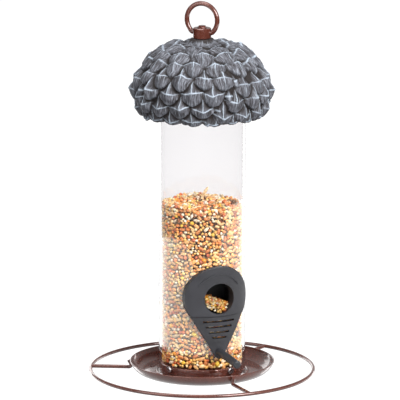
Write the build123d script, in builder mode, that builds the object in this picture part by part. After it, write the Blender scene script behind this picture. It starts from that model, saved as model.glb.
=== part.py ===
from build123d import *
import os
from math import cos, hypot, radians, sin, sqrt

# Hanging tube feeder for small garden birds. A clear seed tube stands in a round metal tray,
# with a perch ring around it, two seed ports with perches, and a cone-scale roof that carries
# the hanging ring. Millimetres, +Z up, origin under the middle of the tray, front port at -Y.

os.makedirs("parts", exist_ok=True)

BEYOND = 60.0            # a cut or extrusion this long passes everything on the tube

# ---- driving dimensions ----------------------------------------------------------------------
TUBE_R = 37.5            # clear tube, outside
TUBE_WALL = 2.0
TUBE_TOP = 262.0
TUBE_BORE = TUBE_R - TUBE_WALL

SHEET = 1.0              # pressed sheet of the tray and the tube socket
TRAY_FLAT_R = 50.0       # the tray's floor is flat out to here
TRAY_CURVE_R = 13.4      # and then turns up on this radius
TRAY_RIM_Z = 10.2
TRAY_BEAD_R = 39.6       # pressed bead around the tube's foot
TRAY_BEAD = 1.2
DRAIN_R = 2.0
DRAIN_CIRCLE_R = 45.0
DRAIN_ANGLE = 52.0
DIMPLE_R = 14.0          # raised middle that hides the wing nut
DIMPLE_FOOT_R = 19.0
SOCKET_TOP = 9.7
SOCKET_R = TUBE_BORE - 0.1
DIMPLE_TOP = SOCKET_TOP - SHEET

RING_R = 97.1            # perch ring, wire centreline
RING_WIRE_R = 1.6
RING_Z = 2.4
SPOKE_WIRE_R = 1.65
SPOKE_OUTER_R = 96.1
SPOKE_LEG_R = 60.6       # where a spoke turns up beside the tray, welded along its wall
SPOKE_TOP_R = 64.3
SPOKE_TOP = 8.8
SPOKE_BEND = 2.0
SPOKE_ANGLES = (-87, 33, 153)

PORT_Z = 73.7            # seed hole centre
PORT_HOLE_R = 13.5
PORT_PLATE_R = 28.5
PORT_TIP_Z = 25.0
PORT_TIP_R = 4.5
PORT_FACE_R = 41.8       # outside of the plate's thick upper part, from the tube's axis
PORT_PANEL_R = 40.5      # outside of the slotted panel under it
PORT_FOOT_R = 39.8       # outside of the tip that holds the perch
PORT_BACK_R = TUBE_R + 0.1
PORT_STEP_Z = 58.0
PORT_FOOT_Z = 35.0
PORT_EDGE = 0.7          # rounding of the plate's outer edges
SLEEVE_R = 15.3          # sleeve that goes in through the tube wall
SLEEVE_END = 28.5        # its inner end, from the tube's axis
HOOD_BORE = 15.5         # hood pushed over the sleeve from inside
HOOD_R = 16.9
HOOD_BACK = 12.6
HOOD_MOUTH = 10.0        # the hood is open this far below the hole's centre, and lower
SLOTS = 4
SLOT_TOP_Z = 53.5
SLOT_PITCH = 4.75
SLOT_HALF = 14.4         # half length of the top slot
SLOT_TAPER = 2.6         # each next slot is this much shorter at each end
SLOT_HEIGHT = 1.7
BROW_R = 21.5            # raised arc over the seed hole
BROW_WIDTH = 1.5
BROW_HEIGHT = 0.8
BROW_HALF_ANGLE = 57.0

PERCH_R = 3.4
PERCH_END = 1.3          # rounding of its free end
PERCH_Z = 26.8
PERCH_BASE = 40.2        # perch's flat inner end, from the tube's axis
PERCH_LENGTH = 41.2
PERCH_DROOP = 3.4        # degrees below level
SPIGOT_R = 2.4
SPIGOT = 2.3

SCREW_R = 1.45           # small self-tapping screws
SCREW_HOLE_R = 1.5
SCREW_HEAD_R = 2.8
SCREW_HEAD = 1.6
TUBE_SCREW_Z = 7.4
TUBE_SCREW_ANGLE = 19.0
CENTRE_BOLT_R = 2.5
CENTRE_HOLE_R = 2.6
SOCKET_WASHER_R = 7.0
WING_HUB_R = 4.5         # wing nut under the tray
WING_HUB = 4.0
WING_ROOT_R = 2.0        # each wing runs from here, inside the hub
WING_SHOULDER_R = 9.0
WING_TIP_R = 11.0
WING_FOOT_R = 7.0
WING_FOOT_Z = 1.4
WING_HALF = 0.8          # half thickness of a wing

SEED_TOP = 151.5
SEED_GAP = 0.3

ROOF_RIM_Z = 229.7
ROOF_EQUATOR_Z = 250.0
ROOF_CORE_R = 56.5       # radius of the roof under its scales, at the equator
ROOF_CROWN = 40.5        # height of the crown over the equator
ROOF_UNDERCUT = 45.0     # half height of the oval below the equator
ROOF_POWER = 2.3         # 2 would be a plain oval over the equator
ROOF_SEAT_Z = 294.4      # flat that the collar turns on
ROOF_SEAT_R = 10.0
SCALES = 18              # scales in each full row
SCALE_RISE = 4.6         # how far a scale's tip stands out of the core
SCALE_ROW_Z = (235.0, 246.5, 257.5, 267.5, 276.0, 283.0)
CROWN_RING_Z = 288.3
CROWN_TIP_R = 19.5
CROWN_TIP_Z = 293.6
ROOF_MOUTH_R = 49.5
ROOF_BORE_R = 41.6       # fits around the lid cap
ROOF_BORE_FOOT = 242.0
NUT_POCKET_R = 14.0
NUT_POCKET_TOP = 284.0

CAP_BORE = TUBE_R + 0.4
CAP_R = 41.2
CAP_FOOT = 240.0
CAP_CEILING = TUBE_TOP + 0.4
CAP_TOP = 265.0
CAP_SCREW_CIRCLE_R = 27.0
CAP_SCREW_START = 45.0
CAP_SCREW = 11.0
STUD_R = 2.0             # bayonet studs on the tube
STUD_HEAD_R = 3.4
STUD_Z = 252.0
STUD_TIP = 40.6
STUD_ANGLES = (0, 180)
BAYONET_PITCH = 72.0     # rise of the helical slots in one full turn
BAYONET_SLOT = 4.6       # slot height
BAYONET_LEAD = 0.75      # the slot's closed end is this much higher than the stud

BOLT_R = 2.0             # hanger bolt
RUNNING = 0.05           # radial clearance where one piece turns on another
BOLT_END = 274.0
BOLT_FLANGE_R = 4.2
BOLT_FLANGE = 0.5
BOLT_HEX_R = 3.4
BOLT_HEX = 1.4
HANGER_WASHER_R = 10.0
HANGER_WASHER = 1.5
HANGER_NUT_R = 4.0
HANGER_NUT = 5.0
COLLAR_R = 7.8
COLLAR_FOOT = 294.7
COLLAR_TOP = 303.7
EYE_TURN = -46.0         # the hanging ring's plane, turned about Z
EYE_WIRE_R = 2.1
EYE_R = 14.2             # hanging ring, wire centreline
EYE_Z = 310.6
EYE_BEND = 2.6
EYE_STUB_R = 8.2         # the ring's bent-in ends leave the collar here
EYE_STUB_END = 4.3
EYE_PIVOT_Z = EYE_Z - EYE_BEND - sqrt((EYE_R - EYE_BEND) ** 2 - EYE_STUB_R ** 2)


# ---- helpers ---------------------------------------------------------------------------------
def facing_plane(turn, depth=0.0):
    """The upright plane through the tube's axis that faces -Y at turn 0, moved out by depth."""
    a = radians(turn)
    plane = Plane(origin=(0, 0, 0), x_dir=(cos(a), sin(a), 0), z_dir=(sin(a), -cos(a), 0))
    return plane.offset(depth)


def radial_plane(angle, height, radius, inward=False):
    """A plane square to the radius at this angle, facing out or in."""
    a = radians(angle)
    side = -1 if inward else 1
    return Plane(origin=(radius * cos(a), radius * sin(a), height),
                 x_dir=(-side * sin(a), side * cos(a), 0), z_dir=(side * cos(a), side * sin(a), 0))


def save(part, name):
    part.label = name
    export_step(part, f"parts/{name}.step")


def pan_screws(planes, shank_r, shank, head_r, head):
    """Screws whose shanks run back from the planes, with rounded heads in front."""
    with BuildPart() as screws:
        with BuildSketch(*planes):
            Circle(head_r)
        extrude(amount=head)
        rims = [screws.edges().filter_by(GeomType.CIRCLE).sort_by_distance(p.offset(2 * head).origin)[0]
                for p in planes]
        fillet(rims, head * 0.45)
        with BuildSketch(*planes):
            Circle(shank_r)
        extrude(amount=-shank)
    return screws.part


def tube_ring(inner_r, outer_r, low, high):
    """An upright ring around the tube's axis, used to trim pieces that wrap on the tube."""
    with BuildPart() as ring:
        with BuildSketch(Plane.XY.offset(low)):
            Circle(outer_r)
            if inner_r:
                Circle(inner_r, mode=Mode.SUBTRACT)
        extrude(amount=high - low)
    return ring.part


# ---- tray, socket and perch ring -------------------------------------------------------------
def tray_wall_r(surface_r, height):
    """Radius of the tray's turned-up wall at a height, on its outer or inner surface."""
    return TRAY_FLAT_R + sqrt(surface_r ** 2 - (TRAY_CURVE_R - height) ** 2)


def make_base_dish():
    inner_r = TRAY_CURVE_R - SHEET
    mid_height = TRAY_RIM_Z / 3
    with BuildPart() as dish:
        with BuildSketch(Plane.XZ):
            with BuildLine():
                rim_out = (tray_wall_r(TRAY_CURVE_R, TRAY_RIM_Z), TRAY_RIM_Z)
                rim_in = (tray_wall_r(inner_r, TRAY_RIM_Z), TRAY_RIM_Z)
                Polyline((0, DIMPLE_TOP), (0, DIMPLE_TOP - SHEET), (DIMPLE_R, DIMPLE_TOP - SHEET),
                         (DIMPLE_FOOT_R, 0), (TRAY_FLAT_R, 0))
                ThreePointArc((TRAY_FLAT_R, 0), (tray_wall_r(TRAY_CURVE_R, mid_height), mid_height),
                              rim_out)
                Line(rim_out, rim_in)
                ThreePointArc(rim_in, (tray_wall_r(inner_r, mid_height), mid_height),
                              (TRAY_FLAT_R, SHEET))
                Polyline((TRAY_FLAT_R, SHEET), (DIMPLE_FOOT_R + SHEET / 2, SHEET),
                         (DIMPLE_R + SHEET / 2, DIMPLE_TOP), (0, DIMPLE_TOP))
            make_face()
        revolve(axis=Axis.Z)
        with BuildSketch(Plane.XZ):
            with Locations((TRAY_BEAD_R, SHEET / 2)):
                Circle(TRAY_BEAD)
            with Locations((TRAY_BEAD_R, -TRAY_BEAD)):
                Rectangle(4 * TRAY_BEAD, 2 * TRAY_BEAD + SHEET, mode=Mode.SUBTRACT)
        revolve(axis=Axis.Z)
        fillet(dish.edges().group_by(Axis.Z)[-1], SHEET * 0.4)
        with BuildSketch():
            Circle(CENTRE_HOLE_R)
            with PolarLocations(DRAIN_CIRCLE_R, 4, start_angle=DRAIN_ANGLE):
                Circle(DRAIN_R)
        extrude(amount=SOCKET_TOP, mode=Mode.SUBTRACT)
    return dish.part


def tube_screw_planes(radius):
    return [radial_plane(TUBE_SCREW_ANGLE + 90 * k, TUBE_SCREW_Z, radius) for k in range(4)]


def make_tube_socket():
    with BuildPart() as socket:
        with BuildSketch(Plane.XY.offset(SHEET)):
            Circle(SOCKET_R)
        extrude(amount=SOCKET_TOP - SHEET)
        fillet(socket.edges().group_by(Axis.Z)[-1], SHEET)
        with BuildSketch(Plane.XY.offset(SHEET)):
            Circle(SOCKET_R - SHEET)
        extrude(amount=DIMPLE_TOP - SHEET, mode=Mode.SUBTRACT)
        with BuildSketch(Plane.XY.offset(SHEET)):
            Circle(CENTRE_HOLE_R)
        extrude(amount=SOCKET_TOP, mode=Mode.SUBTRACT)
        with BuildSketch(*tube_screw_planes(TUBE_BORE / 2)):
            Circle(SCREW_HOLE_R)
        extrude(amount=TUBE_BORE, mode=Mode.SUBTRACT)
    return socket.part


def make_socket_washer():
    with BuildPart() as washer:
        with BuildSketch(Plane.XY.offset(DIMPLE_TOP - 2 * SHEET)):
            Circle(SOCKET_WASHER_R)
            Circle(CENTRE_HOLE_R, mode=Mode.SUBTRACT)
        extrude(amount=SHEET)
    return washer.part


def make_wing_nut():
    hub_top = DIMPLE_TOP - 2 * SHEET
    hub_foot = hub_top - WING_HUB
    with BuildPart() as nut:
        with BuildSketch(Plane.XY.offset(hub_top)):
            Circle(WING_HUB_R)
        extrude(amount=-WING_HUB, taper=8)
        with BuildSketch(Plane.XZ):
            for side in (-1, 1):
                with BuildLine():
                    Polyline((side * WING_ROOT_R, hub_top - 0.5),
                             (side * WING_SHOULDER_R, hub_top - 1.2),
                             (side * WING_TIP_R, WING_FOOT_Z), (side * WING_FOOT_R, WING_FOOT_Z),
                             (side * (WING_HUB_R - 1), hub_foot),
                             (side * WING_ROOT_R, hub_top - 0.5))
                make_face()
        extrude(amount=WING_HALF, both=True)
        with BuildSketch(Plane.XY.offset(hub_top)):
            Circle(CENTRE_HOLE_R)
        extrude(amount=-2 * WING_HUB, mode=Mode.SUBTRACT)
    return nut.part


def make_perch_ring():
    with BuildPart() as ring:
        with BuildSketch(Plane.XZ):
            with Locations((RING_R, RING_Z)):
                Circle(RING_WIRE_R)
        revolve(axis=Axis.Z)
    return ring.part


def make_spoke(angle):
    with BuildPart() as spoke:
        with BuildLine(facing_plane(angle)) as route:
            FilletPolyline((SPOKE_OUTER_R, RING_Z), (SPOKE_LEG_R, RING_Z), (SPOKE_TOP_R, SPOKE_TOP),
                           radius=SPOKE_BEND)
        with BuildSketch(Plane(origin=route.line @ 0, z_dir=route.line % 0)):
            Circle(SPOKE_WIRE_R)
        sweep(path=route.line)
    return spoke.part


# ---- tube and seed ---------------------------------------------------------------------------
def make_seed_tube():
    port_planes = [facing_plane(0), facing_plane(180)]
    with BuildPart() as tube:
        with BuildSketch(Plane.XY.offset(SHEET)):
            Circle(TUBE_R)
            Circle(TUBE_BORE, mode=Mode.SUBTRACT)
        extrude(amount=TUBE_TOP - SHEET)
        with BuildSketch(*port_planes):
            with Locations((0, PORT_Z)):
                Circle(SLEEVE_R + SEED_GAP)
            with Locations((0, PERCH_Z)):
                Circle(SCREW_HOLE_R)
        extrude(amount=TUBE_R + 1, mode=Mode.SUBTRACT)
        with BuildSketch(*tube_screw_planes(TUBE_BORE / 2)):
            Circle(SCREW_HOLE_R)
        extrude(amount=TUBE_R, mode=Mode.SUBTRACT)
        with BuildSketch(*[radial_plane(a, STUD_Z, TUBE_BORE / 2) for a in STUD_ANGLES]):
            Circle(STUD_R + RUNNING)
        extrude(amount=TUBE_R, mode=Mode.SUBTRACT)
    return tube.part


def make_seed_fill():
    foot = SOCKET_TOP + SEED_GAP
    with BuildPart() as seed:
        with BuildSketch(Plane.XY.offset(foot)):
            Circle(TUBE_BORE - SEED_GAP)
        extrude(amount=SEED_TOP - foot)
        for turn in (0, 180):
            with BuildSketch(facing_plane(turn, HOOD_BACK - SEED_GAP)):
                with Locations((0, PORT_Z)):
                    Circle(HOOD_R + SEED_GAP)
            extrude(amount=TUBE_R, mode=Mode.SUBTRACT)
            with BuildSketch(facing_plane(turn, TUBE_BORE - 2 * SCREW_HEAD)):
                with Locations((0, PERCH_Z)):
                    Circle(SCREW_HEAD_R + SEED_GAP)
            extrude(amount=TUBE_R, mode=Mode.SUBTRACT)
        with BuildSketch(Plane.XY.offset(foot)):
            Circle(2 * CENTRE_BOLT_R + SEED_GAP)
        extrude(amount=3, mode=Mode.SUBTRACT)
    return seed.part


# ---- ports and perches -----------------------------------------------------------------------
def make_brow(turn):
    """The raised arc over a seed hole, wrapped on the plate's face."""
    sink = 0.3
    wide = 2 * BROW_R * sin(radians(BROW_HALF_ANGLE))
    high = 2 * BROW_R * cos(radians(BROW_HALF_ANGLE))
    with BuildPart() as brow:
        with BuildSketch(facing_plane(turn)):
            with Locations((0, PORT_Z)):
                Circle(BROW_R + BROW_WIDTH / 2)
                Circle(BROW_R - BROW_WIDTH / 2, mode=Mode.SUBTRACT)
            with BuildLine():
                Polyline((0, PORT_Z), (-wide, PORT_Z + high), (0, PORT_Z + 2 * BROW_R),
                         (wide, PORT_Z + high), (0, PORT_Z))
            make_face(mode=Mode.INTERSECT)
        extrude(amount=BEYOND)
        add(tube_ring(PORT_FACE_R - sink, PORT_FACE_R + BROW_HEIGHT, 0, TUBE_TOP), mode=Mode.INTERSECT)
    return brow.part


def make_port(turn):
    slots = [(SLOT_TOP_Z - SLOT_PITCH * k, SLOT_HALF - SLOT_TAPER * k) for k in range(SLOTS)]
    with BuildPart() as port:
        with BuildSketch(facing_plane(turn)):
            with Locations((0, PORT_Z)):
                Circle(PORT_PLATE_R)
            with Locations((0, PORT_TIP_Z)):
                Circle(PORT_TIP_R)
            make_hull()
        extrude(amount=BEYOND)
        add(tube_ring(PORT_BACK_R, PORT_FACE_R, 0, TUBE_TOP), mode=Mode.INTERSECT)
        add(tube_ring(PORT_PANEL_R, BEYOND, 0, PORT_STEP_Z), mode=Mode.SUBTRACT)
        add(tube_ring(PORT_FOOT_R, BEYOND, 0, PORT_FOOT_Z), mode=Mode.SUBTRACT)
        face = port.faces().filter_by(GeomType.CYLINDER).sort_by(SortBy.RADIUS)[-1]
        fillet(face.edges(), PORT_EDGE)
        with BuildSketch(facing_plane(turn, SLEEVE_END)):
            with Locations((0, PORT_Z)):
                Circle(SLEEVE_R)
        extrude(amount=PORT_BACK_R + 1 - SLEEVE_END)
        with BuildSketch(facing_plane(turn)):
            with Locations((0, PORT_Z)):
                Circle(PORT_HOLE_R)
            with Locations((0, PERCH_Z)):
                Circle(SPIGOT_R + 0.2)
            for height, half in slots:
                with Locations((0, height)):
                    Rectangle(2 * half, SLOT_HEIGHT)
        extrude(amount=BEYOND, mode=Mode.SUBTRACT)
        add(make_brow(turn))
    return port.part


def make_hood(turn):
    reach = TUBE_BORE - SEED_GAP
    wall = HOOD_R - HOOD_BORE
    with BuildPart() as hood:
        with BuildSketch(facing_plane(turn, HOOD_BACK)):
            with Locations((0, PORT_Z)):
                Circle(HOOD_R)
        extrude(amount=reach)
        with BuildSketch(facing_plane(turn, HOOD_BACK + wall)):
            with Locations((0, PORT_Z)):
                Circle(HOOD_BORE)
        extrude(amount=reach, mode=Mode.SUBTRACT)
        with BuildSketch(facing_plane(turn, HOOD_BACK)):
            with Locations((0, PORT_Z - HOOD_MOUTH - HOOD_R)):
                Rectangle(3 * HOOD_R, 2 * HOOD_R)
        extrude(amount=SLEEVE_END - HOOD_BACK, mode=Mode.SUBTRACT)
        add(tube_ring(0, reach, 0, TUBE_TOP), mode=Mode.INTERSECT)
    return hood.part


def make_perch(turn):
    a, droop = radians(turn), radians(PERCH_DROOP)
    base = Plane(origin=(PERCH_BASE * sin(a), -PERCH_BASE * cos(a), PERCH_Z),
                 x_dir=(cos(a), sin(a), 0),
                 z_dir=(sin(a) * cos(droop), -cos(a) * cos(droop), -sin(droop)))
    with BuildPart() as perch:
        with BuildSketch(base):
            Circle(PERCH_R)
        extrude(amount=PERCH_LENGTH)
        fillet(perch.edges().sort_by_distance(base.origin)[-1], PERCH_END)
        with BuildSketch(base):
            Circle(SPIGOT_R)
        extrude(amount=-SPIGOT)
        with BuildSketch(facing_plane(turn)):
            with Locations((0, PERCH_Z)):
                Circle(SCREW_HOLE_R)
        extrude(amount=PERCH_BASE + 8, mode=Mode.SUBTRACT)
    return perch.part


# ---- roof and lid cap ------------------------------------------------------------------------
def core_radius(z):
    """Radius of the roof's surface between its scales."""
    if z < ROOF_EQUATOR_Z:
        return ROOF_CORE_R * sqrt(1 - ((ROOF_EQUATOR_Z - z) / ROOF_UNDERCUT) ** 2)
    rise = (z - ROOF_EQUATOR_Z) / ROOF_CROWN
    return ROOF_CORE_R * (1 - rise ** ROOF_POWER) ** (1 / ROOF_POWER)


def on_core(z, angle, out=0.0):
    """A point on the core, or standing out from it square to its slope."""
    slope = core_radius(z + 0.5) - core_radius(z - 0.5)
    square = hypot(1, slope)
    r = core_radius(z) + out / square
    return (r * cos(radians(angle)), r * sin(radians(angle)), z - out * slope / square)


def polar_point(r, angle, z):
    return (r * cos(radians(angle)), r * sin(radians(angle)), z)


def scale_triangles():
    """Rows of four-sided pyramids, each row half a scale round from the one below it."""
    step = 360 / SCALES
    levels = (ROOF_RIM_Z, *SCALE_ROW_Z, CROWN_RING_Z)
    triangles = []
    for row, z in enumerate(SCALE_ROW_Z):
        for k in range(SCALES):
            angle = (k + row % 2 / 2) * step
            tip = on_core(z, angle, SCALE_RISE)
            left, right = on_core(z, angle - step / 2), on_core(z, angle + step / 2)
            low, high = on_core(levels[row], angle), on_core(levels[row + 2], angle)
            triangles += [(left, low, tip), (low, right, tip), (right, high, tip), (high, left, tip)]
            if row == 0:
                triangles.append((low, on_core(levels[0], angle + step), right))
            if row == len(SCALE_ROW_Z) - 1:
                triangles.append((right, on_core(CROWN_RING_Z, angle + step), high))
    for k in range(SCALES // 2):
        angle = (2 * k + 1.5) * step
        ends = [(on_core(CROWN_RING_Z, a), polar_point(ROOF_SEAT_R, a, ROOF_SEAT_Z))
                for a in (angle - step, angle + step)]
        low = on_core(CROWN_RING_Z, angle)
        tip = polar_point(CROWN_TIP_R, angle, CROWN_TIP_Z)
        rim = [ends[0][0], low, ends[1][0], ends[1][1], ends[0][1]]
        triangles += [(rim[i], rim[(i + 1) % 5], tip) for i in range(5)]
    return triangles


def make_roof_shell():
    step = 360 / SCALES
    polygons = scale_triangles()
    polygons.append([on_core(ROOF_RIM_Z, k * step) for k in range(SCALES)])
    polygons.append([polar_point(ROOF_SEAT_R, (2 * k + 0.5) * step, ROOF_SEAT_Z)
                     for k in range(SCALES // 2)])
    scales = Solid(Shell([Face(Wire.make_polygon(corners, close=True)) for corners in polygons]))
    flare = (ROOF_MOUTH_R - ROOF_BORE_R) / (ROOF_BORE_FOOT - ROOF_RIM_Z)
    below = ROOF_RIM_Z - 5
    with BuildPart() as roof:
        add(scales)
        with BuildSketch(Plane.XZ):
            with BuildLine():
                Polyline((0, below), (ROOF_MOUTH_R + 5 * flare, below), (ROOF_BORE_R, ROOF_BORE_FOOT),
                         (ROOF_BORE_R, CAP_TOP), (NUT_POCKET_R, CAP_TOP),
                         (NUT_POCKET_R, NUT_POCKET_TOP), (0, NUT_POCKET_TOP), (0, below))
            make_face()
        revolve(axis=Axis.Z, mode=Mode.SUBTRACT)
        with BuildSketch(Plane.XY.offset(NUT_POCKET_TOP - 1)):
            Circle(BOLT_R + RUNNING)
        extrude(amount=20, mode=Mode.SUBTRACT)
        with BuildSketch(Plane.XY.offset(CAP_TOP)):
            with PolarLocations(CAP_SCREW_CIRCLE_R, 4, start_angle=CAP_SCREW_START):
                Circle(SCREW_HOLE_R)
        extrude(amount=CAP_SCREW, mode=Mode.SUBTRACT)
    return roof.part


def make_bayonet_slot(stud_angle):
    """The helical way that a stud takes through the cap's skirt, closed at its top."""
    foot = CAP_FOOT - 3
    rise = STUD_Z + BAYONET_LEAD - foot
    mid_r = (CAP_BORE + CAP_R) / 2
    start = stud_angle - 360 * (STUD_Z - foot) / BAYONET_PITCH
    with BuildPart() as slot:
        with BuildLine() as way:
            Helix(pitch=BAYONET_PITCH, height=rise, radius=mid_r)
        with BuildSketch(Plane(origin=way.line @ 0, x_dir=(1, 0, 0), z_dir=(0, 1, 0))):
            Rectangle(2 * (CAP_R - CAP_BORE), BAYONET_SLOT)
        sweep(path=way.line, is_frenet=True)
    return Pos(0, 0, foot) * Rot(0, 0, start) * slot.part


def make_lid_cap():
    with BuildPart() as cap:
        with BuildSketch(Plane.XY.offset(CAP_FOOT)):
            Circle(CAP_R)
        extrude(amount=CAP_TOP - CAP_FOOT)
        with BuildSketch(Plane.XY.offset(CAP_FOOT)):
            Circle(CAP_BORE)
        extrude(amount=CAP_CEILING - CAP_FOOT, mode=Mode.SUBTRACT)
        with BuildSketch(Plane.XY.offset(CAP_CEILING)):
            with PolarLocations(CAP_SCREW_CIRCLE_R, 4, start_angle=CAP_SCREW_START):
                Circle(SCREW_HOLE_R + 0.1)
        extrude(amount=CAP_TOP, mode=Mode.SUBTRACT)
        for angle in STUD_ANGLES:
            add(make_bayonet_slot(angle), mode=Mode.SUBTRACT)
    return cap.part


def make_lid_screws():
    circle = [CAP_SCREW_START + 90 * k for k in range(4)]
    planes = [Plane(origin=polar_point(CAP_SCREW_CIRCLE_R, a, CAP_CEILING), z_dir=(0, 0, -1))
              for a in circle]
    return pan_screws(planes, SCREW_R, CAP_SCREW, SCREW_HEAD_R, SCREW_HEAD)


# ---- hanger ----------------------------------------------------------------------------------
def make_hanger_bolt():
    flange_foot = COLLAR_TOP + RUNNING
    with BuildPart() as bolt:
        with BuildSketch(Plane.XY.offset(BOLT_END)):
            Circle(BOLT_R)
        extrude(amount=flange_foot - BOLT_END)
        with BuildSketch(Plane.XY.offset(flange_foot)):
            Circle(BOLT_FLANGE_R)
        extrude(amount=BOLT_FLANGE)
        with BuildSketch(Plane.XY.offset(flange_foot + BOLT_FLANGE)):
            RegularPolygon(BOLT_HEX_R, 6)
        extrude(amount=BOLT_HEX)
        chamfer(bolt.edges().group_by(Axis.Z)[-1], 0.3)
    return bolt.part


def make_hanger_washer():
    with BuildPart() as washer:
        with BuildSketch(Plane.XY.offset(NUT_POCKET_TOP - RUNNING - HANGER_WASHER)):
            Circle(HANGER_WASHER_R)
            Circle(BOLT_R + RUNNING, mode=Mode.SUBTRACT)
        extrude(amount=HANGER_WASHER)
    return washer.part


def make_hanger_nut():
    top = NUT_POCKET_TOP - RUNNING - HANGER_WASHER
    with BuildPart() as nut:
        with BuildSketch(Plane.XY.offset(top)):
            RegularPolygon(HANGER_NUT_R, 6)
        extrude(amount=-HANGER_NUT)
        chamfer(nut.edges().group_by(Axis.Z)[0], 0.5)
        with BuildSketch(Plane.XY.offset(top)):
            Circle(BOLT_R)
        extrude(amount=-HANGER_NUT, mode=Mode.SUBTRACT)
    return nut.part


def make_hanger_collar():
    with BuildPart() as collar:
        with BuildSketch(Plane.XY.offset(COLLAR_FOOT)):
            Circle(COLLAR_R)
        extrude(amount=COLLAR_TOP - COLLAR_FOOT)
        chamfer(collar.edges().filter_by(GeomType.CIRCLE), 0.6)
        with BuildSketch(Plane.XY.offset(COLLAR_FOOT)):
            Circle(BOLT_R + RUNNING)
        extrude(amount=COLLAR_TOP, mode=Mode.SUBTRACT)
        with BuildSketch(*[radial_plane(EYE_TURN + side, EYE_PIVOT_Z, EYE_STUB_END - RUNNING)
                           for side in (0, 180)]):
            Circle(EYE_WIRE_R + RUNNING)
        extrude(amount=COLLAR_R, mode=Mode.SUBTRACT)
    return collar.part


def make_hanging_ring():
    lean = hypot(EYE_STUB_R, EYE_Z - EYE_PIVOT_Z - EYE_BEND)
    out = (EYE_STUB_R / lean, -(EYE_Z - EYE_PIVOT_Z - EYE_BEND) / lean)
    touch = (EYE_R * out[0], EYE_Z + EYE_R * out[1])
    half = hypot(out[0], out[1] - 1)
    bend_mid = (EYE_STUB_R + EYE_BEND * out[0] / half,
                EYE_PIVOT_Z + EYE_BEND + EYE_BEND * (out[1] - 1) / half)
    with BuildPart() as ring:
        with BuildLine(facing_plane(EYE_TURN)) as route:
            Line((-EYE_STUB_END, EYE_PIVOT_Z), (-EYE_STUB_R, EYE_PIVOT_Z))
            ThreePointArc((-EYE_STUB_R, EYE_PIVOT_Z), (-bend_mid[0], bend_mid[1]),
                          (-touch[0], touch[1]))
            ThreePointArc((-touch[0], touch[1]), (0, EYE_Z + EYE_R), touch)
            ThreePointArc(touch, bend_mid, (EYE_STUB_R, EYE_PIVOT_Z))
            Line((EYE_STUB_R, EYE_PIVOT_Z), (EYE_STUB_END, EYE_PIVOT_Z))
        path = route.wire()
        with BuildSketch(Plane(origin=path @ 0, z_dir=path % 0)):
            Circle(EYE_WIRE_R)
        sweep(path=path)
    return ring.part


# ---- all pieces ------------------------------------------------------------------------------
save(make_base_dish(), "base_dish")
save(make_tube_socket(), "tube_socket")
save(pan_screws(tube_screw_planes(TUBE_R), SCREW_R, 4.5, SCREW_HEAD_R, SCREW_HEAD), "tube_screws")
save(pan_screws([Plane.XY.offset(SOCKET_TOP)], CENTRE_BOLT_R, SOCKET_TOP - 1.8,
                2 * CENTRE_BOLT_R, 2.5), "socket_screw")
save(make_socket_washer(), "socket_washer")
save(make_wing_nut(), "wing_nut")
save(make_perch_ring(), "perch_ring")
for number, spoke_angle in enumerate(SPOKE_ANGLES, 1):
    save(make_spoke(spoke_angle), f"perch_spoke_{number}")

save(make_seed_tube(), "seed_tube")
save(make_seed_fill(), "seed_fill")
for side_name, side_turn in (("front", 0), ("rear", 180)):
    save(make_port(side_turn), f"port_{side_name}")
    save(make_hood(side_turn), f"hood_{side_name}")
    save(make_perch(side_turn), f"perch_{side_name}")
save(pan_screws([radial_plane(a, PERCH_Z, TUBE_BORE - 0.15, inward=True) for a in (-90, 90)],
                SCREW_R, 12, SCREW_HEAD_R, SCREW_HEAD), "perch_screws")
save(pan_screws([radial_plane(a, STUD_Z, TUBE_BORE - 0.2, inward=True) for a in STUD_ANGLES],
                STUD_R, STUD_TIP - TUBE_BORE + 0.2, STUD_HEAD_R, 1.2), "lid_studs")

save(make_roof_shell(), "roof_shell")
save(make_lid_cap(), "lid_cap")
save(make_lid_screws(), "lid_screws")

save(make_hanger_bolt(), "hanger_bolt")
save(make_hanger_washer(), "hanger_washer")
save(make_hanger_nut(), "hanger_nut")
save(make_hanger_collar(), "hanger_collar")
save(make_hanging_ring(), "hanging_ring")
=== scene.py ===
import math

import bpy
import numpy as np
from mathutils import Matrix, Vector


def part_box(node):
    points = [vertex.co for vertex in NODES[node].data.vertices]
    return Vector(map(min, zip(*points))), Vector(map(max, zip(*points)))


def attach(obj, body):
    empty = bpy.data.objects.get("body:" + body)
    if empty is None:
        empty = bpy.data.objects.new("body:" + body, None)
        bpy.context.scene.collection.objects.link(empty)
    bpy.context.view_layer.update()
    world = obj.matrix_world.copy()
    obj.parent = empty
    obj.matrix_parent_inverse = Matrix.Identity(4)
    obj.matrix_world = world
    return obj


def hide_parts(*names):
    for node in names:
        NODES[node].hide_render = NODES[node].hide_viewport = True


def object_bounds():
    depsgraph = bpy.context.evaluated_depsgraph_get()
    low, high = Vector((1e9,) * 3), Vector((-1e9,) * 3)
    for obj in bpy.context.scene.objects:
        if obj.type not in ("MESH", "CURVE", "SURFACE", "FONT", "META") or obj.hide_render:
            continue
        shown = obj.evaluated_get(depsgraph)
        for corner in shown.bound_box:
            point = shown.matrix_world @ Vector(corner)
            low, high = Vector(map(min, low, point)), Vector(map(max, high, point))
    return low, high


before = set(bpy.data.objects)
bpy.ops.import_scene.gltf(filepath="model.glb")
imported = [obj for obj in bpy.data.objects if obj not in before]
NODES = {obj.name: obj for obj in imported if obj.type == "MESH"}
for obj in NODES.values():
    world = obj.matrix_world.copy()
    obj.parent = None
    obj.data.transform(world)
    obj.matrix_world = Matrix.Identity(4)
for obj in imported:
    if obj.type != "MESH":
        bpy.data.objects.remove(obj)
cad_low, cad_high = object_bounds()
MM = 0.001
SEED = 620
rng = np.random.default_rng(SEED)

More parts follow.
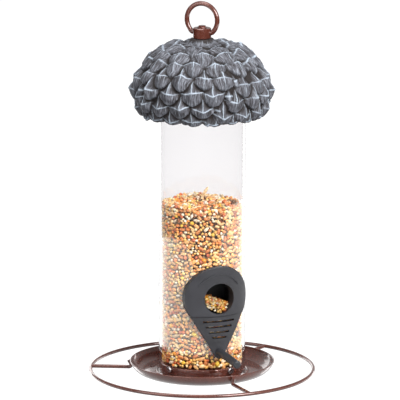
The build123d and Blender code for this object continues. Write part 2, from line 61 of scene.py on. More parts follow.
# ---- the view --------------------------------------------------------------------------------
VIEW_TURN = -22.0                     # degrees round from the front port, which faces -Y
CAMERA_SIDE = VIEW_TURN - 90          # the feeder's side that faces the camera, in degrees from +X
VIEW_AZIMUTH = math.radians(VIEW_TURN)
VIEW_ELEVATION = math.radians(12.285)
VIEW_DISTANCE = 4.0
VIEW_LENS = 416.35
SENSOR_WIDTH = 36.0
FAR_CLIP = 100.0
AIM_HEIGHT = 0.15246
AIM_ASIDE = -0.00173

RIGHT = Vector((math.cos(VIEW_AZIMUTH), math.sin(VIEW_AZIMUTH), 0))
AWAY = Vector((-math.sin(VIEW_AZIMUTH), math.cos(VIEW_AZIMUTH), 0))
UP = Vector((0, 0, 1))


# ---- node helpers ----------------------------------------------------------------------------
class Shader:
    """A material's node tree, with short calls to add and join nodes."""

    def __init__(self, name):
        self.material = bpy.data.materials.new(name)
        self.material.use_nodes = True
        self.tree = self.material.node_tree
        self.tree.nodes.clear()
        self.output = self.tree.nodes.new("ShaderNodeOutputMaterial")

    def node(self, kind, inputs=None, **settings):
        """A new node: sockets among the inputs are linked to it, and plain values set on it."""
        made = self.tree.nodes.new("ShaderNode" + kind)
        for key, value in settings.items():
            setattr(made, key, value)
        for key, value in (inputs or {}).items():
            if isinstance(value, bpy.types.NodeSocket):
                self.tree.links.new(value, made.inputs[key])
            else:
                made.inputs[key].default_value = value
        return made

    def position(self):
        """The point in the piece's own coordinates, in metres."""
        return self.node("TexCoord").outputs["Object"]

    def noise(self, vector, scale, detail=3.0, roughness=0.55):
        made = self.node("TexNoise", {"Vector": vector, "Scale": scale, "Detail": detail,
                                      "Roughness": roughness})
        return made.outputs["Fac"]

    def ramp(self, value, low, high, to_low=0.0, to_high=1.0):
        """The value, with low to high turned into to_low to to_high, and held at both ends."""
        made = self.node("MapRange", {"Value": value, "From Min": low, "From Max": high,
                                      "To Min": to_low, "To Max": to_high})
        return made.outputs["Result"]

    def math(self, operation, a, b=0.5):
        made = self.node("Math", {0: a, 1: b}, operation=operation)
        return made.outputs["Value"]

    def mix(self, factor, a, b, blend="MIX"):
        made = self.node("Mix", data_type="RGBA", blend_type=blend)
        for key, value in ((0, factor), (6, a), (7, b)):
            if isinstance(value, bpy.types.NodeSocket):
                self.tree.links.new(value, made.inputs[key])
            else:
                made.inputs[key].default_value = value
        return made.outputs[2]

    def bump(self, height, strength, distance):
        made = self.node("Bump", {"Height": height, "Strength": strength, "Distance": distance})
        return made.outputs["Normal"]

    def attribute(self, name):
        return self.node("Attribute", attribute_name=name)

    def surface(self, shader_socket):
        self.tree.links.new(shader_socket, self.output.inputs["Surface"])
        return self.material

    def principled(self, **inputs):
        """The finished material, as one Principled shader with these inputs."""
        named = {key.replace("_", " "): value for key, value in inputs.items()}
        made = self.node("BsdfPrincipled", named)
        return self.surface(made.outputs["BSDF"])


def rgb(red, green, blue):
    """A colour given as it looks on screen, 0 to 255, as linear values."""

    def linear(c):
        c /= 255
        return c / 12.92 if c <= 0.04045 else ((c + 0.055) / 1.055) ** 2.4
    return (linear(red), linear(green), linear(blue), 1.0)


# ---- materials -------------------------------------------------------------------------------
def brown_enamel():
    """Glossy red-brown paint on metal, a little uneven, thin and dull in places."""
    s = Shader("brown_enamel")
    at = s.position()
    cloud = s.noise(at, 90.0, 4.0)
    fleck = s.noise(at, 900.0, 2.0)
    colour = s.mix(s.ramp(cloud, 0.3, 0.7), rgb(82, 39, 29), rgb(98, 50, 38))
    colour = s.mix(s.ramp(fleck, 0.68, 0.76, 0.0, 0.3), colour, rgb(138, 88, 70))
    roughness = s.ramp(s.noise(at, 160.0, 3.0), 0.3, 0.7, 0.22, 0.34)
    normal = s.bump(s.noise(at, 260.0, 3.0), 0.1, 0.0006)
    return s.principled(Base_Color=colour, Roughness=roughness, Normal=normal, Metallic=0.25,
                        Coat_Weight=0.8, Coat_Roughness=0.07)


def zinc_steel():
    """Zinc-plated screws: bright, with faint turning marks."""
    s = Shader("zinc_steel")
    at = s.position()
    colour = s.mix(s.noise(at, 500.0), rgb(196, 196, 198), rgb(150, 150, 156))
    roughness = s.ramp(s.noise(at, 1200.0), 0.3, 0.7, 0.18, 0.34)
    normal = s.bump(s.noise(at, 2400.0, 2.0), 0.15, 0.0002)
    return s.principled(Base_Color=colour, Roughness=roughness, Normal=normal, Metallic=1.0)


def black_moulding(name, light=1.0):
    """Satin black moulded plastic with a fine spark texture and rubbed patches. Light below 1
    darkens it as painted shade, for the parts that are seen only inside a hole, where shade falls."""
    s = Shader(name)
    at = s.position()
    cloud = s.noise(at, 60.0, 5.0)
    spark = s.noise(at, 2600.0, 2.0)
    dark, pale = rgb(33 * light, 33 * light, 37 * light), rgb(45 * light, 45 * light, 50 * light)
    colour = s.mix(s.ramp(cloud, 0.35, 0.7), dark, pale)
    roughness = s.ramp(cloud, 0.3, 0.7, 0.42, 0.56)
    normal = s.bump(spark, 0.25, 0.00025)
    return s.principled(Base_Color=colour, Roughness=roughness, Normal=normal,
                        Specular_IOR_Level=0.5)


def clear_plastic():
    """Clear extruded tube: it bends what is seen through it, and lets lamplight straight through."""
    s = Shader("clear_plastic")
    at = s.position()
    streak = s.node("Mapping", {"Vector": at, "Scale": (1.0, 1.0, 0.12)}).outputs["Vector"]
    normal = s.bump(s.noise(streak, 55.0, 2.0), 0.05, 0.001)
    wall = s.node("BsdfPrincipled", {"Base Color": (0.925, 0.916, 0.922, 1), "Roughness": 0.02,
                                     "IOR": 1.49, "Transmission Weight": 1.0, "Normal": normal})
    clear = s.node("BsdfTransparent", {"Color": (0.97, 0.97, 0.97, 1.0)}).outputs["BSDF"]
    ray = s.node("LightPath").outputs
    lit = s.math("MAXIMUM", ray["Is Shadow Ray"], ray["Is Diffuse Ray"])
    mixed = s.node("MixShader", {0: lit})
    s.tree.links.new(wall.outputs["BSDF"], mixed.inputs[1])
    s.tree.links.new(clear, mixed.inputs[2])
    return s.surface(mixed.outputs["Shader"])


def cast_resin():
    """Dark cast resin: pale strokes along its ridges and keels, a fibrous grain that follows each
    scale, painted shade in its valleys and on each scale's upper face."""
    s = Shader("cast_resin")
    at = s.position()
    ridge = s.attribute("ridge").outputs["Fac"]
    keel = s.attribute("keel").outputs["Fac"]
    edge = s.attribute("edge").outputs["Fac"]
    crevice_shade = s.attribute("crevice_shade").outputs["Fac"]
    flow = s.attribute("flow").outputs["Vector"]
    lines = s.node("SeparateXYZ", {"Vector": s.attribute("lines").outputs["Vector"]}).outputs
    along = s.node("Mapping", {"Vector": flow, "Scale": (1.0, 0.12, 1.0)}).outputs["Vector"]
    grooves = s.noise(along, 1.05, 3.0, 0.65)
    patches = s.noise(at, 230.0, 3.0)
    grit = s.noise(at, 1300.0, 3.0)
    wander = s.math("SUBTRACT", s.noise(at, 520.0, 2.0), 0.5)

    def stroke(across, mask):
        """A thin wandering line where across is nought and the mask lets it show."""
        off = s.math("ABSOLUTE", s.math("ADD", across, s.math("MULTIPLY", wander, 1.2)))
        return s.math("MULTIPLY", s.ramp(off, 0.1, 0.6, 1.0, 0.0), s.ramp(mask, 0.12, 0.7))

    drawn = s.math("MAXIMUM", stroke(lines["X"], ridge), stroke(lines["Y"], keel))
    body = s.mix(s.ramp(patches, 0.3, 0.7), rgb(72, 73, 79), rgb(102, 103, 111))
    body = s.mix(s.ramp(grooves, 0.38, 0.52), rgb(44, 42, 44), body)
    body = s.mix(s.math("MULTIPLY", s.ramp(grooves, 0.55, 0.68), 0.75), body, rgb(152, 158, 167))
    body = s.mix(s.math("MULTIPLY", s.ramp(grit, 0.5, 0.62), 0.3), body, rgb(62, 58, 58))
    # painted shade on each scale's upper face, above its ridge, as if shadowed by the scale above
    body = s.mix(s.math("MULTIPLY", s.ramp(lines["X"], 0.3, 2.5), 0.45), body, rgb(52, 49, 50))
    body = s.mix(s.math("MULTIPLY", edge, 0.3), body, rgb(150, 157, 168))
    # painted shade in the crevices and low parts between the scales
    body = s.mix(crevice_shade, body, rgb(38, 33, 32))
    colour = s.mix(s.math("MULTIPLY", drawn, 0.75), body, rgb(174, 186, 199))
    height = s.math("ADD", s.math("MULTIPLY", grooves, 0.7), s.math("MULTIPLY", grit, 0.3))
    normal = s.bump(height, 0.8, 0.001)
    return s.principled(Base_Color=colour, Roughness=0.72, Normal=normal, Specular_IOR_Level=0.3)


def grain_skin():
    """Seed coats: each grain's own colour, mottled with brown, with a dry sheen."""
    s = Shader("grain_skin")
    at = s.position()
    own = s.attribute("grain_colour").outputs["Color"]
    mottle = s.noise(at, 900.0, 3.0)
    browned = s.mix(1.0, own, rgb(188, 140, 96), "MULTIPLY")
    colour = s.mix(s.ramp(mottle, 0.35, 0.7, 0.0, 0.55), own, browned)
    normal = s.bump(s.noise(at, 1800.0, 2.0), 0.3, 0.0003)
    return s.principled(Base_Color=colour, Roughness=0.42, Normal=normal, Specular_IOR_Level=0.55)


def studio_floor():
    """A pale floor that glows a little, so that it is even and bright all over."""
    s = Shader("studio_floor")
    at = s.position()
    colour = s.mix(s.noise(at, 3.0), (0.1, 0.1, 0.1, 1), (0.12, 0.12, 0.12, 1))
    return s.principled(Base_Color=colour, Roughness=0.8, Specular_IOR_Level=0.1,
                        Emission_Color=(1, 1, 1, 1), Emission_Strength=FLOOR_GLOW)


# ---- mesh helpers ----------------------------------------------------------------------------
def mesh_object(name, vertices, faces, material):
    mesh = bpy.data.meshes.new(name)
    mesh.from_pydata(np.asarray(vertices).tolist(), [], [list(map(int, f)) for f in faces])
    mesh.polygons.foreach_set("use_smooth", np.full(len(mesh.polygons), True))
    mesh.update()
    made = bpy.data.objects.new(name, mesh)
    bpy.context.scene.collection.objects.link(made)
    mesh.materials.append(material)
    return made


def point_values(mesh, name, kind, values):
    """Stores one value, vector or colour per vertex, for a material to read."""
    made = mesh.attributes.new(name, kind, "POINT")
    field = {"FLOAT": "value", "FLOAT_VECTOR": "vector", "FLOAT_COLOR": "color"}[kind]
    made.data.foreach_set(field, np.asarray(values, np.float32).ravel())


# ---- roof ------------------------------------------------------------------------------------
# The shell is one closed skin: a relief of scales laid over a smooth core, and a plain inside.
# Lengths and heights are in millimetres, and heights are the part's own Z.
RIM_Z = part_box("roof_shell")[0].z / MM
SEAT_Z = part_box("roof_shell")[1].z / MM
EQUATOR_Z = RIM_Z + 20.3              # where the core is widest
CORE_R = 54.8
CROWN = 40.5                          # from the equator up to the core's top
UNDERCUT = 45.0                       # how far under the equator the core would close
POWER = 2.04                          # the crown's fullness: 2 is an ellipse
BOSS_R, SEAT_R, BOLT_HOLE_R = 13.0, 9.6, 2.05
MOUTH_R, BORE_R, BORE_FOOT, BORE_TOP = 49.5, 41.6, 242.0, 265.0
POCKET_R, POCKET_TOP = 14.0, 284.0
COLUMNS = 600
OUTER_ROWS = 144
PROFILE_STEPS = 4000
ROW_HEIGHT = (233.6, 245.2, 257.2, 267.6)    # the ridges of the four lower rows
ROW_TALL = (4.9, 6.6, 7.4, 7.0, 6.0)         # how far a ridge stands out, by row
ROW_SAG = (2.1, 2.1, 1.9, 0.6, -1.0)         # how far a ridge's middle hangs under its ends, by row
SCALES_ROUND = 18                            # in each of the four lower rows
SEAM, SEAM_LEAN = 11, 9.5                    # a seam's azimuth in the second row, and its lean by row
SEAM_LEFT = -64                              # the upright seam on the other side
SEAM_DROP = (1.2, 6.3, 6.3, 6.3)             # how much lower the rows sit beyond the seams
OVERLAP = 1.12                               # a scale is this much wider than its share of the row
SCALE_LIP = 3.4                              # a scale's lower edge stands this far over the next one
CREST_TALL, CREST_WIDTH = 0.35, 0.5          # the fine crest along a ridge and a keel
BRUSH_WIDTH = 1.1                            # how far the pale paint reaches to both sides of them
SPIKE = 0.8                                  # below 1 hollows a scale's upper face
SHIELD, SHIELD_HIGH = 1.55, 1.25             # above 1 rounds its lower face: lower rows, upper rows
FAR_OFF = 9.0                                # a distance at which no stroke is drawn
CROWN_FADE = 16                              # the relief fades out over this width round the seat

# count, first azimuth, height, half width, reach up, reach down, stand-out, sag, row
UPPER_ROWS = (
    (15, -9, 275.6, 11.2, 14.0, 12.4, ROW_TALL[4], ROW_SAG[4], 4),
    (11, 2, 282.0, 12.4, 14.5, 13.5, 6.6, -3.0, 5),
    (7, -14, 286.8, 11.6, 11.0, 14.0, 5.6, -3.0, 6),
    (9, 24, 290.4, 5.4, 6.0, 7.5, 3.0, -1.2, 7),
)


def core_radius(z):
    """The core's radius at a height, without its flat top."""
    z = np.asarray(z, float)
    low = CORE_R * np.sqrt(np.clip(1 - ((EQUATOR_Z - z) / UNDERCUT) ** 2, 0, 1))
    rise = np.clip((z - EQUATOR_Z) / CROWN, 0, 1)
    high = CORE_R * (1 - rise ** POWER) ** (1 / POWER)
    return np.where(z < EQUATOR_Z, low, high)


def core_profile():
    """Radius, height and distance along the roof's side, evenly spaced from its rim to its seat."""
    rise = np.sin(np.linspace(0, math.pi / 2, PROFILE_STEPS))
    below = np.linspace(RIM_Z, EQUATOR_Z, PROFILE_STEPS // 5)[:-1]
    z = np.concatenate([below, EQUATOR_Z + CROWN * rise])
    r = core_radius(z)
    keep = r > BOSS_R
    r = np.append(r[keep], SEAT_R)
    z = np.append(z[keep], SEAT_Z)
    along = np.concatenate([[0], np.cumsum(np.hypot(np.diff(r), np.diff(z)))])
    even = np.linspace(0, along[-1], OUTER_ROWS)
    return np.interp(even, along, r), np.interp(even, along, z), even


def smooth_noise(rows, columns, cell_rows, cell_columns):
    """Soft noise from -1 to 1 on a grid that closes round its columns."""
    tall, wide = rows // cell_rows + 3, max(4, columns // cell_columns)
    values = rng.uniform(-1, 1, (tall, wide))
    at_row = np.arange(rows) / cell_rows
    at_column = np.arange(columns) * wide / columns
    i, j = at_row.astype(int), at_column.astype(int)
    s, t = at_row - i, at_column - j
    s, t = (s * s * (3 - 2 * s))[:, None], (t * t * (3 - 2 * t))[None, :]
    a, b = values[np.ix_(i, j)], values[np.ix_(i, (j + 1) % wide)]
    c, d = values[np.ix_(i + 1, j)], values[np.ix_(i + 1, (j + 1) % wide)]
    return (a * (1 - t) + b * t) * (1 - s) + (c * (1 - t) + d * t) * s


def blur(field, reach_rows, reach_columns):
    """A running mean, taken twice and closed round its columns."""
    for _ in range(2):
        total = sum(np.roll(field, k, axis=1) for k in range(-reach_columns, reach_columns + 1))
        field = total / (2 * reach_columns + 1)
        padded = np.pad(field, ((reach_rows, reach_rows), (0, 0)), mode="edge")
        sums = np.cumsum(np.vstack([np.zeros((1, field.shape[1])), padded]), axis=0)
        field = (sums[2 * reach_rows + 1:] - sums[:-2 * reach_rows - 1]) / (2 * reach_rows + 1)
    return field


def scale_list(z, along):
    """Each scale: azimuth from the camera's side, distance along the roof's side, half width,
    reach up and down, stand-out, sag and row."""

    def up_side(height):
        return float(np.interp(height, z, along))

    scales = []
    apart = 360 // SCALES_ROUND
    for row, base_z in enumerate(ROW_HEIGHT):
        seam = SEAM + SEAM_LEAN * (row - 1)
        for k in range(SCALES_ROUND):
            # every other row sits half a scale round, and the azimuths run from -180 to 180
            seen = (170 + apart * k + apart // 2 * (row % 2)) % 360 - 180
            beyond = seen > seam or seen < SEAM_LEFT
            drop = SEAM_DROP[row] if beyond else 0.0
            centre = up_side(base_z - drop)
            scales.append([seen, centre, 10.0, 13.4, 11.4, ROW_TALL[row], ROW_SAG[row], row])
        for seam_at in (seam + 4, SEAM_LEFT - 2):
            scales.append([seam_at, up_side(base_z - 2), 4.6, 7.0, 6.0, 4.4, 0.8, 4])
    for count, first, height, half, up, down, tall, sag, row in UPPER_ROWS:
        for k in range(count):
            seen = first + 360 / count * k
            scales.append([seen, up_side(height), half, up, down, tall, sag, row])
    for k in range(8):
        scales.append([5 + 45 * k, float(along[-1]) - 3.5, 3.6, 4.0, 5.0, 1.8, 0.0, 7])
    return scales


def scale_relief(r, z, along):
    """How far the scales stand out over the core, and the marks that the paint follows. Each point
    of the roof belongs to the scale that stands out furthest there."""
    rows, columns = len(r), COLUMNS
    azimuth = np.arange(columns) * 2 * math.pi / columns
    relief = np.zeros((rows, columns))
    ridge = np.zeros((rows, columns))
    keel = np.zeros((rows, columns))
    lines = np.full((rows, columns, 3), FAR_OFF)
    flow = np.zeros((rows, columns, 3))
    stray_u = 1.0 * smooth_noise(rows, columns, 9, 10) + 0.2 * smooth_noise(rows, columns, 3, 4)
    stray_v = 0.9 * smooth_noise(rows, columns, 10, 9) + 0.22 * smooth_noise(rows, columns, 3, 4)
    worn = 0.72 + 0.3 * smooth_noise(rows, columns, 5, 6) + 0.3 * smooth_noise(rows, columns, 2, 3)
    for number, (seen, centre, half, up, down, tall, sag, row) in enumerate(scale_list(z, along)):
        at = math.radians(seen + CAMERA_SIDE + rng.normal(0, 0.9))
        centre += rng.normal(0, 0.5)
        half *= OVERLAP * rng.uniform(0.95, 1.05)
        up, down = up * rng.uniform(0.95, 1.05), down * rng.uniform(0.94, 1.06)
        tall *= rng.uniform(0.84, 1.16)
        sag *= rng.uniform(0.3, 1.5)
        side = half * rng.uniform(-0.16, 0.16)
        roll = rng.normal(0, 0.06)

        # u runs round the roof from the scale's middle and v up from its ridge
        near = np.where((along > centre - down - 3) & (along < centre + up + 3))[0]
        turn = (azimuth[None, :] - at + math.pi) % (2 * math.pi) - math.pi
        u = turn * r[near][:, None] + stray_u[near]
        v = (along[near] - centre)[:, None] + roll * u + stray_v[near]
        span = np.where(u < side, half + side, half - side)
        across = np.abs(u - side) / span
        v = v + sag * (1 - np.clip(across, 0, 1) ** 1.5)

        # a hollow-sided pyramid above the ridge, and a rounded shield with a lip below it
        above = v >= 0
        reach = np.where(above, up + sag, down - sag)
        height_share = np.abs(v) / reach
        pyramid = (across ** SPIKE + height_share ** SPIKE) ** (1 / SPIKE)
        power = SHIELD if row < 4 else SHIELD_HIGH
        shield = (across ** power + height_share ** power) ** (1 / power)
        face = np.where(above, tall * (1 - pyramid), tall * (1 - shield))
        lip = SCALE_LIP * np.clip(height_share / 0.75, 0, 1) * np.clip((1 - shield) / 0.1, 0, 1)
        face = face + np.where(above, 0, lip)

        # a crest and a brushed band along the ridge, and along the keel that runs up and down
        to_ridge = np.abs(v)
        to_keel = np.abs(u - side)
        strength = np.clip(worn[near], 0.1, 1)
        bead = np.exp(-(to_ridge / BRUSH_WIDTH) ** 2) * np.clip(1.25 - across, 0, 1) * strength
        keel_share = np.where(above, 0.95 if row < 4 else 0.3, 0.1 if row < 3 else 0.7)
        fade = np.clip(1.2 - 1.1 * height_share, 0, 1)
        fin = np.exp(-(to_keel / BRUSH_WIDTH) ** 2) * keel_share * fade * strength
        ridge_crest = np.exp(-(to_ridge / CREST_WIDTH) ** 2)
        keel_crest = np.exp(-(to_keel / CREST_WIDTH) ** 2) * fin
        face = face + CREST_TALL * np.maximum(ridge_crest, keel_crest)

        wins = (face > relief[near]) & (across < 1.3)
        relief[near] = np.where(wins, face, relief[near])
        ridge[near] = np.where(wins, bead, ridge[near])
        keel[near] = np.where(wins, fin, keel[near])
        drawn = np.dstack([v * (0.45 if row > 3 else 0.9), u - side, np.zeros_like(u)])
        lines[near] = np.where(wins[..., None], drawn, lines[near])
        # the resin's fibres fan out from the ridge, with a pattern of its own for each scale
        fan = u * (1 + 0.25 * height_share)
        marks = np.dstack([fan + 31 * number, v + 17 * number, np.full_like(u, number)])
        flow[near] = np.where(wins[..., None], marks, flow[near])
    return relief, ridge, keel, lines, flow


def make_roof():
    """The roof's shell, in place of the plain one."""
    r, z, along = core_profile()
    relief, ridge, keel, lines, flow = scale_relief(r, z, along)

    # what lies lower than its surroundings, or stands out little over the core, gets painted shade,
    # and what stands over them is an edge
    soft = blur(relief, 3, 4)
    crevice_shade = np.clip((soft - relief - 0.05) / 0.75, 0, 1)
    deep = np.clip((2.5 - relief) / 2.5, 0, 1)
    crevice_shade = np.clip(crevice_shade + 0.8 * deep, 0, 1)
    edge = np.clip((relief - soft - 0.5) / 0.8, 0, 1)

    coarse = 0.16 * smooth_noise(OUTER_ROWS, COLUMNS, 3, 4)
    rough = coarse + 0.1 * smooth_noise(OUTER_ROWS, COLUMNS, 1, 2)
    streaks = 0.2 * smooth_noise(OUTER_ROWS, COLUMNS, 9, 2)
    relief = relief + rough + streaks
    crown = np.clip((r - SEAT_R - 0.5) / CROWN_FADE, 0, 1)[:, None]
    relief = relief * crown

    # the relief stands out at right angles to the core, and the rim's edge is ragged
    tangent_r, tangent_z = np.gradient(r), np.gradient(z)
    length = np.hypot(tangent_r, tangent_z)
    normal_r, normal_z = tangent_z / length, -tangent_r / length
    azimuth = np.arange(COLUMNS) * 2 * math.pi / COLUMNS
    out_r = r[:, None] + relief * normal_r[:, None]
    out_z = z[:, None] + relief * normal_z[:, None]
    ragged = 0.8 * smooth_noise(1, COLUMNS, 1, 6)[0] + 0.5 * smooth_noise(1, COLUMNS, 1, 3)[0]
    low = np.clip(1 - along / 4, 0, 1)[:, None]
    out_z = out_z + low * (0.9 + ragged)[None, :] * 0.6

    # the inside's rings, from the rim up to the seat: the outer skin runs on into them at both ends
    inside = [(out_r[0] - 1.2, out_z[0] - 0.35)]
    rings = [(MOUTH_R + 0.8, RIM_Z + 0.2), (BORE_R, BORE_FOOT), (BORE_R, BORE_FOOT + 0.5),
             (BORE_R, BORE_TOP - 0.5), (BORE_R, BORE_TOP), (BORE_R - 0.5, BORE_TOP),
             (POCKET_R + 0.5, BORE_TOP), (POCKET_R, BORE_TOP), (POCKET_R, BORE_TOP + 0.5),
             (POCKET_R, POCKET_TOP), (BOLT_HOLE_R, POCKET_TOP), (BOLT_HOLE_R, SEAT_Z),
             (BOLT_HOLE_R + 0.5, SEAT_Z), (SEAT_R - 1.2, SEAT_Z)]
    for radius, height in rings:
        inside.append((np.full(COLUMNS, radius), np.full(COLUMNS, height)))
    all_r = np.vstack([out_r] + [ring[0][None, :] for ring in reversed(inside)])
    all_z = np.vstack([out_z] + [ring[1][None, :] for ring in reversed(inside)])

    total = len(all_r)
    x, y = all_r * np.cos(azimuth), all_r * np.sin(azimuth)
    points = np.stack([x, y, all_z], axis=-1).reshape(-1, 3) * MM
    row = np.arange(total)[:, None]
    column = np.arange(COLUMNS)[None, :]
    here = row * COLUMNS + column
    beside = row * COLUMNS + (column + 1) % COLUMNS
    above = ((row + 1) % total) * COLUMNS + column
    across = ((row + 1) % total) * COLUMNS + (column + 1) % COLUMNS
    faces = np.stack([here, beside, across, above], axis=-1).reshape(-1, 4)
    roof = mesh_object("roof_cast", points, faces, cast_resin())

    # the paint's marks: the inside has none, and is darkened all over as painted shade
    plain = np.zeros((total - OUTER_ROWS, COLUMNS))
    point_values(roof.data, "ridge", "FLOAT", np.vstack([ridge * crown ** 0.5, plain]))
    point_values(roof.data, "keel", "FLOAT", np.vstack([keel * crown ** 0.5, plain]))
    point_values(roof.data, "edge", "FLOAT", np.vstack([edge * crown, plain]))
    drawn = np.concatenate([lines, np.full((total - OUTER_ROWS, COLUMNS, 3), FAR_OFF)])
    point_values(roof.data, "lines", "FLOAT_VECTOR", drawn)
    point_values(roof.data, "crevice_shade", "FLOAT", np.vstack([crevice_shade, plain + 0.6]))
    marks = np.concatenate([flow, np.zeros((total - OUTER_ROWS, COLUMNS, 3))])
    point_values(roof.data, "flow", "FLOAT_VECTOR", marks)
    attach(roof, "roof")
    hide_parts("roof_shell")


make_roof()


# ---- grain -----------------------------------------------------------------------------------
FILL_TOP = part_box("seed_fill")[1].z / MM
FILL_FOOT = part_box("seed_fill")[0].z / MM
FILL_R = 35.45                        # a hair inside the tube's bore
PORT_Z = 73.7                         # the seed holes' height
PORT_SIDES = (-math.pi / 2, math.pi / 2)
HOOD_R = 17.0                         # no grain lies against the wall within this of a port's middle
HEAP_R = 13.4                         # the hood's inside, as the heap in it meets it
HEAP_HALF = 12.4                      # half the heap's width
HEAP_NEAR, HEAP_FAR = 15.5, 41.2      # from the feeder's axis: the heap's back, and its furthest grain
HEAP_DEEP = 6.5
HEAP_TRIES = 9000
HEAP_DIM = 0.5                        # it lies in the hood's shade
HEAP_MIX = {"millet": 0.55, "wheat": 0.24, "milo": 0.09, "maize": 0.07, "safflower": 0.05}


def grain_shape(rings, segments, power=1.0, crease=0.0, taper=0.0):
    """A grain one unit long on X: rounded ends, a crease along one side, one end finer."""
    steps = np.linspace(0, math.pi, rings + 2)[1:-1]
    points = [(-0.5, 0, 0)]
    for t in steps:
        x = -0.5 * math.cos(t)
        body = 0.5 * math.sin(t) ** power * (1 - taper * (x + 0.5))
        for k in range(segments):
            a = 2 * math.pi * k / segments
            r = body * (1 - crease * max(0, math.cos(a)) ** 6)
            points.append((x, r * math.sin(a), r * math.cos(a)))
    points.append((0.5, 0, 0))
    faces = []
    for k in range(segments):
        faces.append((0, 1 + (k + 1) % segments, 1 + k))
    for ring in range(rings - 1):
        for k in range(segments):
            a, b = 1 + ring * segments + k, 1 + ring * segments + (k + 1) % segments
            faces.append((a, b, b + segments))
            faces.append((a, b + segments, a + segments))
    last, tip = 1 + (rings - 1) * segments, len(points) - 1
    for k in range(segments):
        faces.append((last + k, last + (k + 1) % segments, tip))
    return np.array(points, float), np.array(faces, int)


def rough_lump():
    """A cracked piece of maize, with a few uneven flats."""
    points, faces = grain_shape(3, 6, 0.6)
    points = points * rng.uniform(0.78, 1.15, (len(points), 1))
    return points, faces


# name: (shape, (length, width, thickness), spread of size, colours)
KINDS = {
    "wheat": (grain_shape(5, 8, 0.58, 0.24, 0.1), (5.4, 3.4, 3.0), 0.12,
              [(246, 196, 130), (236, 174, 106), (252, 216, 160), (222, 144, 80), (242, 182, 116),
               (250, 206, 142), (210, 130, 70)]),
    "oat": (grain_shape(5, 7, 1.0, 0.2, 0.2), (8.0, 2.8, 2.2), 0.12,
            [(242, 216, 172), (232, 202, 154), (220, 184, 134)]),
    "maize": (rough_lump(), (4.2, 3.8, 3.2), 0.2,
              [(248, 182, 36), (252, 202, 70), (240, 156, 36)]),
    "milo": (grain_shape(4, 7, 0.55), (3.5, 3.2, 2.9), 0.12,
             [(218, 118, 58), (234, 144, 74), (190, 98, 56), (240, 172, 100)]),
    "millet": (grain_shape(3, 6, 0.55), (2.7, 2.3, 2.2), 0.14,
               [(252, 212, 124), (254, 232, 176), (244, 152, 70), (255, 244, 216), (244, 190, 100),
                (250, 204, 120)]),
    "safflower": (grain_shape(4, 7, 0.8, 0.0, 0.3), (5.6, 3.5, 3.0), 0.1,
                  [(252, 241, 220), (246, 230, 200)]),
    "sunflower": (grain_shape(5, 7, 1.0, 0.0, 0.45), (8.6, 3.9, 2.7), 0.12,
                  [(46, 40, 40), (60, 54, 52)]),
    "chaff": (grain_shape(4, 6, 1.2, 0.0, 0.2), (7.0, 1.4, 0.9), 0.2,
              [(240, 222, 186), (226, 202, 160)]),
}


class Grains:
    """Collects grains, then turns them into one mesh."""

    def __init__(self, name):
        self.name = name
        self.points, self.faces, self.colours, self.count = [], [], [], 0

    def add(self, kind, centres, along, out, shade_dim=1.0):
        """Grains of one kind: long axis along, flat side facing out, both as unit vectors. A dimming
        below 1 darkens them, as painted shade for grains that lie in shade."""
        (shape, faces), size, spread, palette = KINDS[kind]
        number = len(centres)
        if not number:
            return
        scale = np.array(size) * rng.normal(1, spread, (number, 1)).clip(0.75, 1.3)
        local = shape[None] * scale[:, None, :]
        side = np.cross(out, along)
        turned = (local[..., 0:1] * along[:, None] + local[..., 1:2] * side[:, None]
                  + local[..., 2:3] * out[:, None])
        self.points.append((turned + centres[:, None]).reshape(-1, 3))
        offset = self.count + np.arange(number)[:, None, None] * len(shape)
        self.faces.append((faces[None] + offset).reshape(-1, 3))
        chosen = np.array([rgb(*c) for c in palette])[rng.integers(0, len(palette), number)]
        # each grain's own random tone, times the dimming that paints shade
        shade = rng.normal(1, 0.12, (number, 1)).clip(0.6, 1.3) * shade_dim
        chosen[:, :3] = np.clip(chosen[:, :3] * shade, 0, 1)
        self.colours.append(np.repeat(chosen, len(shape), axis=0))
        self.count += number * len(shape)

    def build(self, skin):
        """The finished mesh, which takes part of the plain fill's place."""
        made = mesh_object(self.name, np.concatenate(self.points) * MM,
                           np.concatenate(self.faces), skin)
        point_values(made.data, "grain_colour", "FLOAT_COLOR", np.concatenate(self.colours))
        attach(made, "feeder")
        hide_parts("seed_fill")


CELL = 0.35                           # the patch is a board of cells this wide, taken or free
LYING = 0.95                          # spread of the grains' angle from level, in radians


